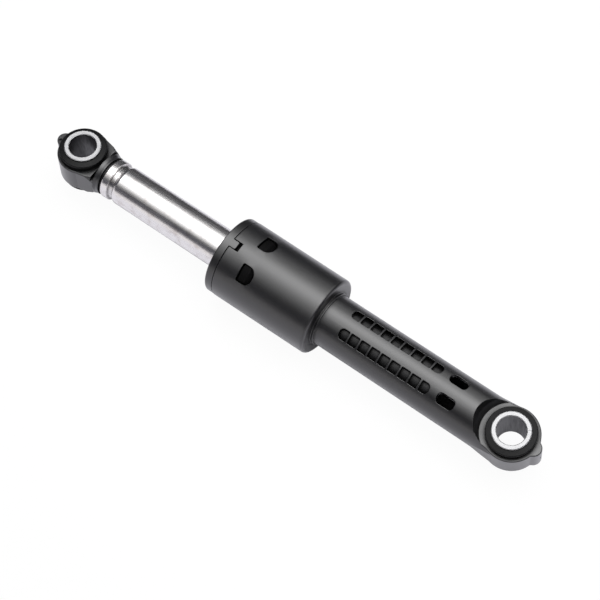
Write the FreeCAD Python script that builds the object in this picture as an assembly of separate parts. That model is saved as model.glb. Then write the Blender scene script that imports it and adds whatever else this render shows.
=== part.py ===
import FreeCAD, Part
import math
import os

# Washing machine shock absorber: a friction damper with a free-stroke unit.
# All sizes are in millimetres. The origin is the centre of the housing eye,
# +X runs along the damper to the rod eye and +Z is the axis of both eyes.

# Overall length
EYE_TO_EYE = 225.5
CLOSED_LENGTH = 172.0
ROD_TURN = 10.0

# Steel sleeves in both eyes
SLEEVE_BORE = 12.2
SLEEVE_WALL = 2.0
SLEEVE_LENGTH = 21.4
SLEEVE_CHAMFER = 0.3

# Rubber bushes in both eyes
RUBBER_WALL = 1.25
LIP_OVERHANG = 1.25
LIP_HEIGHT = 2.8
LIP_ROUND = 0.5
LIP_UNDERCUT = 0.5
RUBBER_CREST = 0.6

# Housing eye
HOUSING_EYE_WALL = 2.55
HOUSING_EYE_THICKNESS = 12.8
HOUSING_LUG_TIP = 14.0
EYE_WEB = 9.1
SADDLE_MARGIN = 1.0
SADDLE_FOOT = 2.0
SADDLE_FOOT_RISE = 1.9
SADDLE_SLOPE = 21.0
WAIST_LENGTH = 12.0
WAIST_FLARE = 6.0
WAIST_BLEND = 30.0

# Rod eye
ROD_EYE_WALL = 2.25
ROD_EYE_THICKNESS = 12.4
ROD_LUG_TIP = 14.3
ROD_EYE_NECK = 16.0
PLATE_REACH = 11.1
PLATE_END_WIDTH = 19.0
NECK_GROOVE_WIDTH = 1.3
NECK_GROOVE_DEPTH = 2.0
NECK_COLLAR = 2.5
NECK_CYLINDER = 1.3
NECK_FLARE = 25.6
DIMPLE_RADIUS = 0.6
DIMPLE_REACH = 12.4
DIMPLE_SIDE = 1.3

# Small lug at the tip of each eye
LUG_RADIUS = 3.6
LUG_BLEND = 1.5
EYE_EDGE_RADIUS = 0.5
GATE_MARK_RADIUS = 0.45

# Rod tube and its rolled mouth
ROD_DIAMETER = 18.0
ROD_WALL = 1.0
MOUTH_BEAD_LENGTH = 3.5
MOUTH_BEAD_RISE = 0.2
MOUTH_BEAD_RADIUS = 0.6
ROLL_FLOOR = 1.9
ROLL_SLOPE = 0.5
ROLL_DEPTH = 1.0
ROLL_RADIUS = 0.25
SHOULDER_SLOPE = 0.8
SHOULDER_RADIUS = 2.2
SPIGOT_LENGTH = 22.0
SPIGOT_CORE_WALL = 2.2

# Plug in the rod's inner end
PLUG_FLANGE = 3.0
PLUG_SPIGOT = 10.0
PLUG_WALL = 2.0
NOSE_ROUND = 0.6
CLOSING_GAP = 1.8

# Housing tube
TUBE_WALL = 2.5
TUBE_LENGTH = 92.0
TUBE_COLLAR_STEP = 0.5
TUBE_COLLAR_LENGTH = 1.3
VENT_OFFSET = 5.7
VENT_LENGTH = 8.4
POCKET_OFFSET = 3.9
POCKET_LENGTH = 4.3
POCKET_RIB = 0.75
POCKET_DEPTH = 1.7
POCKET_MARGIN = 9.5
POCKET_CORNER = 0.4
ROW_ANGLE = 24.7
ROW_WIDTH = 4.4
ROW_END_RADIUS = 1.8

# Head and its cap
HEAD_WALL = 2.5
HEAD_REAR_WALL = 3.0
HEAD_DRAFT = 0.2
HEAD_EDGE_RADIUS = 1.5
CHAMBER_ROUND = 0.8
CAP_FLANGE = 3.7
CAP_BOSS = 2.4
CAP_RIM_RADIUS = 0.5
SEAM_SLIT = 0.3
SEAM_SLIT_DEPTH = 0.8
SEAM_EDGE_RADIUS = 0.15
CAP_SIDE_STEP = 0.15
CAP_DISH_DEPTH = 1.2
CAP_DISH_MARGIN = 2.0
SPIGOT_RING = 3.6
FINGER_WALL = 1.65
HOOK_HEIGHT = 1.85
HOOK_LAND = 3.5
HOOK_EDGE_RADIUS = 0.3
HOOK_GAP = 0.45
WINDOW_ANGLE = 27.5
WINDOW_SETBACK = 10.0
WINDOW_LENGTH = 6.85
WINDOW_WIDTH = 8.4
WINDOW_ROUND = 3.6
WINDOW_CORNER = 0.7
TAB_WIDTH = 3.6
TAB_LENGTH = 3.1
TAB_GAP = 0.3
NOTCH_END_GAP = 1.7

# Friction unit and its buffers
FREE_STROKE = 5.0
UNIT_LENGTH = 25.0
LINING_THICKNESS = 2.45
CARRIER_WALL = 1.7
CARRIER_END = 2.0
GUIDE_RIB_WIDTH = 3.0
GUIDE_RIB_END = 2.2
BUFFER_LENGTH = 3.5
BUFFER_ROUND = 0.5
RING_WIRE = 1.2
RING_SETBACK = 5.0
RING_OPENING = 24.0

# Broken edges of moulded pieces, and the share of its shortest edge that a rounding may take
EDGE_ROUND = 0.3
TAB_ROUND = 0.6
ROUNDING_SHARE = 0.5

# How far a cut runs past the surface it opens
OVERRUN = 1.0

# How near two lengths are taken as the same
TOLERANCE = 1e-4

# Fits and clearances
RUNNING_FIT = 0.05
SNAP_FIT = 0.15
MOVING_GAP = 0.3
ROD_GUIDE_GAP = 0.35
HALF_GAP = 0.4
UNIT_GAP = 0.5
PLUG_END_GAP = 0.1

# Radii worked out from the middle of each eye outwards
SLEEVE_BORE_R = SLEEVE_BORE / 2
SLEEVE_R = SLEEVE_BORE_R + SLEEVE_WALL
RUBBER_BORE_R = SLEEVE_R + RUNNING_FIT
EYE_BORE_R = RUBBER_BORE_R + RUBBER_WALL
LIP_R = EYE_BORE_R + LIP_OVERHANG
HOUSING_EYE_R = EYE_BORE_R + HOUSING_EYE_WALL
ROD_EYE_R = EYE_BORE_R + ROD_EYE_WALL

# Radii worked out from the damper's long axis outwards
ROD_R = ROD_DIAMETER / 2
ROD_BORE_R = ROD_R - ROD_WALL
BEAD_R = ROD_R + MOUTH_BEAD_RISE
ROLL_R = ROD_R - ROLL_DEPTH
BORE_R = ROD_R + ROD_GUIDE_GAP
TUBE_R = BORE_R + TUBE_WALL
LINING_BORE_R = ROD_R + RUNNING_FIT
LINING_R = LINING_BORE_R + LINING_THICKNESS
CARRIER_R = LINING_R + CARRIER_WALL
UNIT_BORE_R = ROD_R + UNIT_GAP
FINGER_BORE_R = CARRIER_R + UNIT_GAP
FINGER_R = FINGER_BORE_R + FINGER_WALL
CHAMBER_R = FINGER_R + SNAP_FIT
HEAD_R = CHAMBER_R + HEAD_WALL
CAP_R = HEAD_R - CAP_SIDE_STEP

# Stations along the damper, from the housing eye to the rod eye
BORE_END = EYE_BORE_R + EYE_WEB
HEAD_START = TUBE_LENGTH
CHAMBER_START = HEAD_START + HEAD_REAR_WALL
UNIT_START = CHAMBER_START + BUFFER_LENGTH + FREE_STROKE + MOVING_GAP
UNIT_END = UNIT_START + UNIT_LENGTH
FRONT_BUFFER_START = UNIT_END + FREE_STROKE + MOVING_GAP
CAP_INNER_FACE = FRONT_BUFFER_START + BUFFER_LENGTH
SEAM = CAP_INNER_FACE + CAP_BOSS
CAP_FRONT = SEAM + CAP_FLANGE
WINDOW_EDGE = SEAM - WINDOW_SETBACK
ROD_MOUTH = EYE_TO_EYE - ROD_EYE_NECK
BEAD_END = ROD_MOUTH - MOUTH_BEAD_LENGTH
ROLL_END = BEAD_END - ROLL_SLOPE - ROLL_FLOOR - SHOULDER_SLOPE
ROD_END = EYE_TO_EYE - CLOSED_LENGTH + BORE_END + CLOSING_GAP + PLUG_FLANGE + PLUG_END_GAP

X_AXIS = FreeCAD.Vector(1, 0, 0)
Y_AXIS = FreeCAD.Vector(0, 1, 0)
Z_AXIS = FreeCAD.Vector(0, 0, 1)
ORIGIN = FreeCAD.Vector(0, 0, 0)


def rounded_wire(corners, place):
    """Closed wire through (u, v, radius) corners, with a tangent arc at each radius."""
    ends = []
    count = len(corners)
    for i, (u, v, radius) in enumerate(corners):
        before = corners[i - 1]
        after = corners[(i + 1) % count]
        to_before = (before[0] - u, before[1] - v)
        to_after = (after[0] - u, after[1] - v)
        length_before = math.hypot(*to_before)
        length_after = math.hypot(*to_after)
        a = (to_before[0] / length_before, to_before[1] / length_before)
        b = (to_after[0] / length_after, to_after[1] / length_after)
        if radius <= 0:
            ends.append(((u, v), None, (u, v)))
            continue
        half = math.acos(max(-1.0, min(1.0, a[0] * b[0] + a[1] * b[1]))) / 2
        trim = radius / math.tan(half)
        bisector = (a[0] + b[0], a[1] + b[1])
        size = math.hypot(*bisector)
        depth = radius / math.sin(half) - radius
        middle = (u + bisector[0] / size * depth, v + bisector[1] / size * depth)
        start = (u + a[0] * trim, v + a[1] * trim)
        end = (u + b[0] * trim, v + b[1] * trim)
        ends.append((start, middle, end))
    edges = []
    for i, (start, middle, end) in enumerate(ends):
        if middle is not None:
            edges.append(Part.Arc(place(*start), place(*middle), place(*end)).toShape())
        following = ends[(i + 1) % count][0]
        if math.dist(end, following) > 1e-6:
            edges.append(Part.LineSegment(place(*end), place(*following)).toShape())
    return Part.Wire(edges)


def turned_x(corners):
    """Solid turned about the long axis from (x, radius, corner radius) points."""
    wire = rounded_wire(corners, lambda x, r: FreeCAD.Vector(x, r, 0))
    return Part.Face(wire).revolve(ORIGIN, X_AXIS, 360)


def turned_z(corners):
    """Solid turned about an eye's axis from (radius, z, corner radius) points."""
    wire = rounded_wire(corners, lambda r, z: FreeCAD.Vector(r, 0, z))
    return Part.Face(wire).revolve(ORIGIN, Z_AXIS, 360)


def prism_z(corners, z_low, z_high):
    """Solid with an (x, y, corner radius) outline, from z_low to z_high."""
    wire = rounded_wire(corners, lambda x, y: FreeCAD.Vector(x, y, z_low))
    return Part.Face(wire).extrude(FreeCAD.Vector(0, 0, z_high - z_low))


def box(x_low, x_high, y_low, y_high, z_low, z_high):
    """Block between two opposite corners."""
    corner = FreeCAD.Vector(x_low, y_low, z_low)
    return Part.makeBox(x_high - x_low, y_high - y_low, z_high - z_low, corner)


def spun(shape, degrees):
    """Copy of a shape turned about the long axis."""
    copy = shape.copy()
    copy.rotate(ORIGIN, X_AXIS, degrees)
    return copy


def arc(centre, radius, start_degrees, end_degrees):
    """Arc in the XY plane, drawn from start to end about a centre."""
    points = []
    for share in (0.0, 0.5, 1.0):
        angle = math.radians(start_degrees + (end_degrees - start_degrees) * share)
        x = centre[0] + radius * math.cos(angle)
        y = centre[1] + radius * math.sin(angle)
        points.append(FreeCAD.Vector(x, y, 0))
    return Part.Arc(*points).toShape()


def eye_disc(radius, thickness, tip):
    """Round eye plate with a blended lug out to its -X tip."""
    lug_x = tip - LUG_RADIUS
    reach = radius + LUG_BLEND
    lug_reach = LUG_RADIUS + LUG_BLEND
    ratio = (reach ** 2 + lug_x ** 2 - lug_reach ** 2) / (2 * lug_x * reach)
    side = math.degrees(math.acos(ratio))
    blend_x = reach * math.cos(math.radians(side))
    blend_y = reach * math.sin(math.radians(side))
    turn = math.degrees(math.atan2(blend_y, blend_x - lug_x))
    rim = arc((0, 0), radius, side, 360 - side)
    lower = arc((blend_x, -blend_y), LUG_BLEND, 180 - side, 180 - turn)
    nose = arc((lug_x, 0), LUG_RADIUS, -turn, turn)
    upper = arc((blend_x, blend_y), LUG_BLEND, 180 + turn, 180 + side)
    wire = Part.Wire([rim, lower, nose, upper])
    disc = Part.Face(wire).extrude(FreeCAD.Vector(0, 0, thickness))
    disc.translate(FreeCAD.Vector(0, 0, -thickness / 2))
    mark = Part.makeSphere(GATE_MARK_RADIUS, FreeCAD.Vector(tip, 0, 0))
    disc = disc.cut(mark)
    disc.rotate(ORIGIN, Z_AXIS, 180)
    return disc


def edge_points(edge):
    """Start, middle and end of an edge."""
    span = edge.LastParameter - edge.FirstParameter
    return [edge.valueAt(edge.FirstParameter + span * share) for share in (0.0, 0.5, 1.0)]


def outline_edges(shape, face_z, spared_radii):
    """Outlines of a shape's flat faces, but for circles of some radii."""
    chosen = []
    for edge in shape.Edges:
        points = edge_points(edge)
        flat = all(abs(abs(point.z) - face_z) < TOLERANCE for point in points)
        reaches = [math.hypot(point.x, point.y) for point in points]
        spans = [max(abs(reach - radius) for reach in reaches) for radius in spared_radii]
        if flat and min(spans) > TOLERANCE:
            chosen.append(edge)
    return chosen


def row_slot(x_low, x_high, low_radius, high_radius):
    """Prism over one side row of the tube, drawn straight up from the middle."""
    middle = TUBE_R * math.sin(math.radians(ROW_ANGLE))
    low = middle - ROW_WIDTH / 2
    high = middle + ROW_WIDTH / 2
    corners = [
        (x_low, low, low_radius),
        (x_high, low, high_radius),
        (x_high, high, high_radius),
        (x_low, high, low_radius),
    ]
    return prism_z(corners, 0, TUBE_R + OVERRUN)


def pocket_row():
    """Cutters of one ladder of blind pockets between thin ribs, round at both ends."""
    pitch = POCKET_LENGTH + POCKET_RIB
    first = BORE_END + VENT_OFFSET + VENT_LENGTH + POCKET_OFFSET
    room = HEAD_START - POCKET_MARGIN - first
    count = int((room + POCKET_RIB) / pitch)
    core = Part.makeCylinder(TUBE_R - POCKET_DEPTH, HEAD_START, ORIGIN, X_AXIS)
    pockets = []
    for i in range(count):
        start = first + i * pitch
        low_radius = ROW_END_RADIUS if i == 0 else POCKET_CORNER
        high_radius = ROW_END_RADIUS if i == count - 1 else POCKET_CORNER
        slot = row_slot(start, start + POCKET_LENGTH, low_radius, high_radius)
        pockets.append(slot.cut(core))
    return pockets


def vent_slot():
    """Cutter of one round-ended vent through the tube's wall."""
    first = BORE_END + VENT_OFFSET
    return row_slot(first, first + VENT_LENGTH, ROW_END_RADIUS, ROW_END_RADIUS)


def on_four_sides(cutter):
    """The cutter in its place and mirrored to the other three rows."""
    left = cutter.mirror(ORIGIN, Y_AXIS)
    return [cutter, left, cutter.mirror(ORIGIN, Z_AXIS), left.mirror(ORIGIN, Z_AXIS)]


def window_outline():
    """D-shaped window corners: square edge to the cap, round towards the tube."""
    low = WINDOW_EDGE - WINDOW_LENGTH
    side = WINDOW_WIDTH / 2
    return [
        (low, -side, WINDOW_ROUND),
        (WINDOW_EDGE, -side, WINDOW_CORNER),
        (WINDOW_EDGE, side, WINDOW_CORNER),
        (low, side, WINDOW_ROUND),
    ]


def window_angles():
    """Angles of the four windows about the long axis."""
    return [WINDOW_ANGLE, -WINDOW_ANGLE, 180 - WINDOW_ANGLE, 180 + WINDOW_ANGLE]


def damper_housing():
    """Eye, tube and head, moulded as one piece."""
    collar_start = HEAD_START - TUBE_COLLAR_LENGTH
    collar_r = TUBE_R + TUBE_COLLAR_STEP
    body = turned_x([
        (BORE_END, 0, 0),
        (BORE_END, TUBE_R, 0),
        (collar_start, TUBE_R, 0),
        (collar_start, collar_r, EDGE_ROUND),
        (HEAD_START, collar_r, EDGE_ROUND),
        (HEAD_START, HEAD_R - HEAD_DRAFT, HEAD_EDGE_RADIUS),
        (SEAM - SEAM_SLIT, HEAD_R, SEAM_EDGE_RADIUS),
        (SEAM - SEAM_SLIT, HEAD_R - SEAM_SLIT_DEPTH, 0),
        (SEAM, HEAD_R - SEAM_SLIT_DEPTH, 0),
        (SEAM, CHAMBER_R, 0),
        (CHAMBER_START, CHAMBER_R, CHAMBER_ROUND),
        (CHAMBER_START, 0, 0),
    ])
    flare = WAIST_LENGTH * math.tan(math.radians(WAIST_FLARE))
    waist = turned_x([
        (0, 0, 0),
        (0, TUBE_R + flare, 0),
        (WAIST_LENGTH, TUBE_R, WAIST_BLEND),
        (BORE_END, TUBE_R, 0),
        (BORE_END, 0, 0),
    ])
    slab = box(0, BORE_END, -TUBE_R, TUBE_R, -2 * TUBE_R, 2 * TUBE_R)
    disc = eye_disc(HOUSING_EYE_R, HOUSING_EYE_THICKNESS, HOUSING_LUG_TIP)
    body = body.fuse([waist.common(slab), disc])
    face_z = HOUSING_EYE_THICKNESS / 2
    saddle_r = HOUSING_EYE_R + SADDLE_MARGIN
    saddle_top = TUBE_R + flare + OVERRUN
    foot_z = face_z + SADDLE_FOOT_RISE
    foot_r = saddle_r + SADDLE_FOOT
    spread = (saddle_top - foot_z) * math.tan(math.radians(SADDLE_SLOPE))
    saddle = turned_z([
        (0, face_z, 0),
        (saddle_r, face_z, 0),
        (foot_r, foot_z, 0),
        (foot_r + spread, saddle_top, 0),
        (0, saddle_top, 0),
    ])
    body = body.cut([saddle, saddle.mirror(ORIGIN, Z_AXIS)])
    bore_length = CHAMBER_START - BORE_END + OVERRUN
    bore = Part.makeCylinder(BORE_R, bore_length, FreeCAD.Vector(BORE_END, 0, 0), X_AXIS)
    eye_bore = Part.makeCylinder(EYE_BORE_R, 2 * saddle_top, FreeCAD.Vector(0, 0, -saddle_top))
    body = body.cut([bore, eye_bore])
    for cutter in pocket_row() + [vent_slot()]:
        body = body.cut(on_four_sides(cutter))
    window = prism_z(window_outline(), CHAMBER_R - OVERRUN, HEAD_R + OVERRUN)
    body = body.cut([spun(window, angle) for angle in window_angles()])
    notch_depth = TAB_LENGTH + NOTCH_END_GAP
    notch_side = TAB_WIDTH / 2 + TAB_GAP
    notch_start = SEAM - notch_depth
    low = CHAMBER_R - OVERRUN
    high = HEAD_R + OVERRUN
    notch = box(notch_start, SEAM + OVERRUN, -notch_side, notch_side, low, high)
    body = body.cut([notch, spun(notch, 180)]).removeSplitter()
    return body.makeFillet(EYE_EDGE_RADIUS, outline_edges(body, face_z, [saddle_r, EYE_BORE_R]))


def snap_finger():
    """One finger of the cap, whose hook fills its window but for a gap all round."""
    hook_front = WINDOW_EDGE - HOOK_GAP
    tip = WINDOW_EDGE - WINDOW_LENGTH + HOOK_GAP
    hook_r = FINGER_R + HOOK_HEIGHT
    ring = turned_x([
        (tip, FINGER_BORE_R, 0),
        (tip, FINGER_R, 0),
        (hook_front - HOOK_LAND, hook_r, HOOK_EDGE_RADIUS),
        (hook_front, hook_r, HOOK_EDGE_RADIUS),
        (hook_front, FINGER_R, 0),
        (SEAM - SPIGOT_RING, FINGER_R, 0),
        (SEAM - SPIGOT_RING, FINGER_BORE_R, 0),
    ])
    side = WINDOW_WIDTH / 2 - HOOK_GAP
    rounding = WINDOW_ROUND - HOOK_GAP
    strip = prism_z([
        (tip, -side, rounding),
        (SEAM, -side, 0),
        (SEAM, side, 0),
        (tip, side, rounding),
    ], 0, HEAD_R)
    return ring.common(strip)


def head_cap():
    """Cap with a rod hole, two locating tabs and four snap fingers."""
    spigot_end = SEAM - SPIGOT_RING
    dish_r = CAP_R - CAP_DISH_MARGIN
    lip_r = BORE_R + CAP_DISH_MARGIN
    cap = turned_x([
        (CAP_FRONT, BORE_R, EDGE_ROUND),
        (CAP_FRONT, lip_r, EDGE_ROUND),
        (CAP_FRONT - CAP_DISH_DEPTH, lip_r, 0),
        (CAP_FRONT - CAP_DISH_DEPTH, dish_r, 0),
        (CAP_FRONT, dish_r, 0),
        (CAP_FRONT, CAP_R, CAP_RIM_RADIUS),
        (SEAM, CAP_R, SEAM_EDGE_RADIUS),
        (SEAM, FINGER_R, 0),
        (spigot_end, FINGER_R, 0),
        (spigot_end, FINGER_BORE_R, 0),
        (CAP_INNER_FACE, FINGER_BORE_R, 0),
        (CAP_INNER_FACE, BORE_R, EDGE_ROUND),
    ])
    tab = prism_z([
        (SEAM - TAB_LENGTH, -TAB_WIDTH / 2, TAB_ROUND),
        (SEAM + CAP_FLANGE / 2, -TAB_WIDTH / 2, 0),
        (SEAM + CAP_FLANGE / 2, TAB_WIDTH / 2, 0),
        (SEAM - TAB_LENGTH, TAB_WIDTH / 2, TAB_ROUND),
    ], FINGER_BORE_R, HEAD_R)
    skin = Part.makeCylinder(CAP_R, CAP_FRONT, ORIGIN, X_AXIS)
    core = Part.makeCylinder(FINGER_BORE_R + FINGER_WALL / 2, CAP_FRONT, ORIGIN, X_AXIS)
    tab = tab.common(skin).cut(core)
    finger = snap_finger()
    pieces = [tab, spun(tab, 180)] + [spun(finger, angle) for angle in window_angles()]
    return cap.fuse(pieces).removeSplitter()


def eye_rubber(thickness):
    """Flanged bush, squeezed through the eye so that a lip lies on each face."""
    half = thickness / 2
    lip_low = half + SNAP_FIT
    lip_top = half + LIP_HEIGHT
    upper = [
        (EYE_BORE_R, lip_low, 0),
        (LIP_R - LIP_UNDERCUT, lip_low, 0),
        (LIP_R, lip_top, LIP_ROUND),
        (RUBBER_BORE_R, lip_top + RUBBER_CREST, 0),
    ]
    lower = [(r, -z, radius) for r, z, radius in reversed(upper)]
    return turned_z(upper + lower)


def eye_sleeve():
    """Steel sleeve with broken edges."""
    half = SLEEVE_LENGTH / 2
    edge = SLEEVE_CHAMFER
    return turned_z([
        (SLEEVE_BORE_R, half - edge, 0),
        (SLEEVE_BORE_R + edge, half, 0),
        (SLEEVE_R - edge, half, 0),
        (SLEEVE_R, half - edge, 0),
        (SLEEVE_R, -half + edge, 0),
        (SLEEVE_R - edge, -half, 0),
        (SLEEVE_BORE_R + edge, -half, 0),
        (SLEEVE_BORE_R, -half + edge, 0),
    ])


def mouth_outside():
    """Points of the tube's rolled mouth, from its end to the full tube."""
    return [
        (ROD_MOUTH, BEAD_R, MOUTH_BEAD_RADIUS),
        (BEAD_END, BEAD_R, ROLL_RADIUS),
        (BEAD_END - ROLL_SLOPE, ROLL_R, ROLL_RADIUS),
        (ROLL_END + SHOULDER_SLOPE, ROLL_R, ROLL_RADIUS),
        (ROLL_END, ROD_R, SHOULDER_RADIUS),
    ]


def mouth_inside(inset, full_r):
    """Points a wall's inset under the rolled mouth, from its end to the full tube."""
    return [
        (ROD_MOUTH, BEAD_R - inset, 0),
        (BEAD_END + ROD_WALL, BEAD_R - inset, ROLL_RADIUS),
        (BEAD_END + ROD_WALL - ROLL_SLOPE, ROLL_R - inset, ROLL_RADIUS),
        (ROLL_END - ROD_WALL + SHOULDER_SLOPE, ROLL_R - inset, ROLL_RADIUS),
        (ROLL_END - ROD_WALL, full_r, ROLL_RADIUS),
    ]


def rod_tube():
    """Thin-walled tube, its mouth rolled into the groove of the rod eye's spigot."""
    inner = mouth_inside(ROD_WALL, ROD_BORE_R)
    inner.reverse()
    end = [(ROD_END, ROD_R, EDGE_ROUND), (ROD_END, ROD_BORE_R, 0)]
    return turned_x(mouth_outside() + end + inner)


def rod_eye():
    """Eye plate with a straight end, tapered neck, round collar and grooved spigot."""
    half = ROD_EYE_THICKNESS / 2
    plate = eye_disc(ROD_EYE_R, ROD_EYE_THICKNESS, ROD_LUG_TIP)
    plate.rotate(ORIGIN, Z_AXIS, 180)
    root_r = BEAD_R - ROD_WALL - RUNNING_FIT
    collar_start = PLATE_REACH + NECK_GROOVE_WIDTH
    collar_end = collar_start + NECK_COLLAR
    taper_end = collar_end - NECK_CYLINDER
    root_flare = taper_end * math.tan(math.radians(NECK_FLARE))
    limit = turned_x([
        (-ROD_EYE_NECK, 0, 0),
        (-ROD_EYE_NECK, root_r, 0),
        (-collar_end, root_r, 0),
        (-collar_end, BEAD_R, EDGE_ROUND),
        (-taper_end, BEAD_R, 0),
        (0, BEAD_R + root_flare, 0),
        (0, 0, 0),
    ])
    slab = prism_z([
        (0, -ROD_EYE_R, 0),
        (0, ROD_EYE_R, 0),
        (-PLATE_REACH, PLATE_END_WIDTH / 2, EDGE_ROUND),
        (-PLATE_REACH, -PLATE_END_WIDTH / 2, EDGE_ROUND),
    ], -half, half)
    reach = 2 * BEAD_R
    web_z = half - NECK_GROOVE_DEPTH
    taper = (ROD_EYE_R - PLATE_END_WIDTH / 2) / PLATE_REACH
    web_y = ROD_EYE_R - taper * ROD_EYE_NECK
    web = prism_z([
        (0, -ROD_EYE_R, 0),
        (0, ROD_EYE_R, 0),
        (-ROD_EYE_NECK, web_y, 0),
        (-ROD_EYE_NECK, -web_y, 0),
    ], -web_z, web_z)
    collar = box(-ROD_EYE_NECK, -collar_start, -reach, reach, -reach, reach)
    plate = plate.fuse(limit.common(slab)).removeSplitter()
    edges = outline_edges(plate, half, [EYE_BORE_R])
    shortest = min(edge.Length for edge in edges)
    plate = plate.makeFillet(min(EYE_EDGE_RADIUS, ROUNDING_SHARE * shortest), edges)
    eye = plate.fuse(limit.common(web.fuse(collar))).removeSplitter()
    dimple = Part.makeSphere(DIMPLE_RADIUS, FreeCAD.Vector(DIMPLE_REACH, DIMPLE_SIDE, half))
    eye = eye.cut(dimple)
    eye.translate(FreeCAD.Vector(EYE_TO_EYE, 0, 0))
    spigot_end = ROD_MOUTH - SPIGOT_LENGTH
    spigot_r = ROD_BORE_R - RUNNING_FIT
    core_r = spigot_r - SPIGOT_CORE_WALL
    spigot = turned_x(
        [(ROD_MOUTH, 0, 0)]
        + mouth_inside(ROD_WALL + RUNNING_FIT, spigot_r)
        + [(spigot_end, spigot_r, NOSE_ROUND), (spigot_end, core_r, 0)]
        + [(ROLL_END, core_r, 0), (ROLL_END, 0, 0)]
    )
    eye_bore = Part.makeCylinder(EYE_BORE_R, 4 * half, FreeCAD.Vector(EYE_TO_EYE, 0, -2 * half))
    eye = eye.fuse(spigot).cut(eye_bore).removeSplitter()
    return spun(eye, ROD_TURN)


def rod_end_plug():
    """Plug with a flange that runs in the tube's bore and a spigot inside the rod."""
    flange_r = BORE_R - RUNNING_FIT
    spigot_r = ROD_BORE_R - RUNNING_FIT
    face = ROD_END - PLUG_END_GAP
    bore_r = spigot_r - PLUG_WALL
    return turned_x([
        (face - PLUG_FLANGE, bore_r, 0),
        (face - PLUG_FLANGE, flange_r, NOSE_ROUND),
        (face, flange_r, EDGE_ROUND),
        (face, spigot_r, 0),
        (ROD_END + PLUG_SPIGOT, spigot_r, NOSE_ROUND),
        (ROD_END + PLUG_SPIGOT, bore_r, 0),
    ])


def carrier_shell():
    """Whole friction carrier before it is split, with guide ribs and ring grooves."""
    shell = turned_x([
        (UNIT_START, UNIT_BORE_R, 0),
        (UNIT_START, CARRIER_R, EDGE_ROUND),
        (UNIT_END, CARRIER_R, EDGE_ROUND),
        (UNIT_END, UNIT_BORE_R, 0),
        (UNIT_END - CARRIER_END, UNIT_BORE_R, 0),
        (UNIT_END - CARRIER_END, LINING_R, 0),
        (UNIT_START + CARRIER_END, LINING_R, 0),
        (UNIT_START + CARRIER_END, UNIT_BORE_R, 0),
    ])
    rib_r = CHAMBER_R - MOVING_GAP
    band = turned_x([
        (UNIT_START + GUIDE_RIB_END, LINING_R + CARRIER_WALL / 2, 0),
        (UNIT_START + GUIDE_RIB_END, rib_r, 0),
        (UNIT_END - GUIDE_RIB_END, rib_r, 0),
        (UNIT_END - GUIDE_RIB_END, LINING_R + CARRIER_WALL / 2, 0),
    ])
    side = GUIDE_RIB_WIDTH / 2
    strip = box(UNIT_START, UNIT_END, -side, side, 0, HEAD_R)
    rib = band.common(strip)
    shell = shell.fuse([spun(rib, angle) for angle in (60, 120, 240, 300)])
    grooves = []
    for x in ring_stations():
        width = RING_WIRE / 2 + RUNNING_FIT
        grooves.append(turned_x([
            (x - width, CARRIER_R - RING_WIRE, 0),
            (x + width, CARRIER_R - RING_WIRE, 0),
            (x + width, HEAD_R, 0),
            (x - width, HEAD_R, 0),
        ]))
    return shell.cut(grooves)


def ring_stations():
    """Middles of the two spring rings along the damper."""
    return UNIT_START + RING_SETBACK, UNIT_END - RING_SETBACK


def half_of(shape, sign):
    """Half of a ring-shaped piece on the +Y or -Y side of the split."""
    reach = 2 * HEAD_R
    low, high = sorted((sign * HALF_GAP / 2, sign * reach))
    return shape.common(box(0, EYE_TO_EYE, low, high, -reach, reach))


def lining_shell():
    """Whole friction lining before it is split."""
    start = UNIT_START + CARRIER_END
    end = UNIT_END - CARRIER_END
    return turned_x([
        (start, LINING_BORE_R, 0),
        (start, LINING_R, 0),
        (end, LINING_R, 0),
        (end, LINING_BORE_R, 0),
    ])


def carrier_ring(x):
    """Open spring ring of round wire, in its groove round the carrier."""
    wire_r = RING_WIRE / 2
    middle_r = CARRIER_R - RING_WIRE + wire_r
    ring = Part.makeTorus(middle_r, wire_r, FreeCAD.Vector(x, 0, 0), X_AXIS)
    half_width = middle_r * math.sin(math.radians(RING_OPENING / 2))
    opening = box(x - RING_WIRE, x + RING_WIRE, 0, 2 * middle_r, -half_width, half_width)
    return ring.cut(opening)


def buffer_ring(start):
    """Square-cut elastic stop ring with softened corners."""
    inner_r = UNIT_BORE_R + MOVING_GAP
    outer_r = FINGER_BORE_R - SNAP_FIT
    end = start + BUFFER_LENGTH
    return turned_x([
        (start, inner_r, BUFFER_ROUND),
        (start, outer_r, BUFFER_ROUND),
        (end, outer_r, BUFFER_ROUND),
        (end, inner_r, BUFFER_ROUND),
    ])


def moved_to_rod(shape):
    """Copy of an eye piece, placed at the rod eye and turned with the rod."""
    copy = spun(shape, ROD_TURN)
    copy.translate(FreeCAD.Vector(EYE_TO_EYE, 0, 0))
    return copy


def build_parts():
    """All sub-parts by name."""
    carrier = carrier_shell()
    lining = lining_shell()
    rear_ring, front_ring = ring_stations()
    return {
        "damper_housing": damper_housing(),
        "head_cap": head_cap(),
        "housing_eye_rubber": eye_rubber(HOUSING_EYE_THICKNESS),
        "housing_eye_sleeve": eye_sleeve(),
        "rear_buffer": buffer_ring(CHAMBER_START),
        "front_buffer": buffer_ring(FRONT_BUFFER_START),
        "carrier_half_left": half_of(carrier, 1),
        "carrier_half_right": half_of(carrier, -1),
        "lining_left": half_of(lining, 1),
        "lining_right": half_of(lining, -1),
        "carrier_ring_rear": carrier_ring(rear_ring),
        "carrier_ring_front": carrier_ring(front_ring),
        "rod_tube": rod_tube(),
        "rod_end_plug": rod_end_plug(),
        "rod_eye": rod_eye(),
        "rod_eye_rubber": moved_to_rod(eye_rubber(ROD_EYE_THICKNESS)),
        "rod_eye_sleeve": moved_to_rod(eye_sleeve()),
    }


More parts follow.
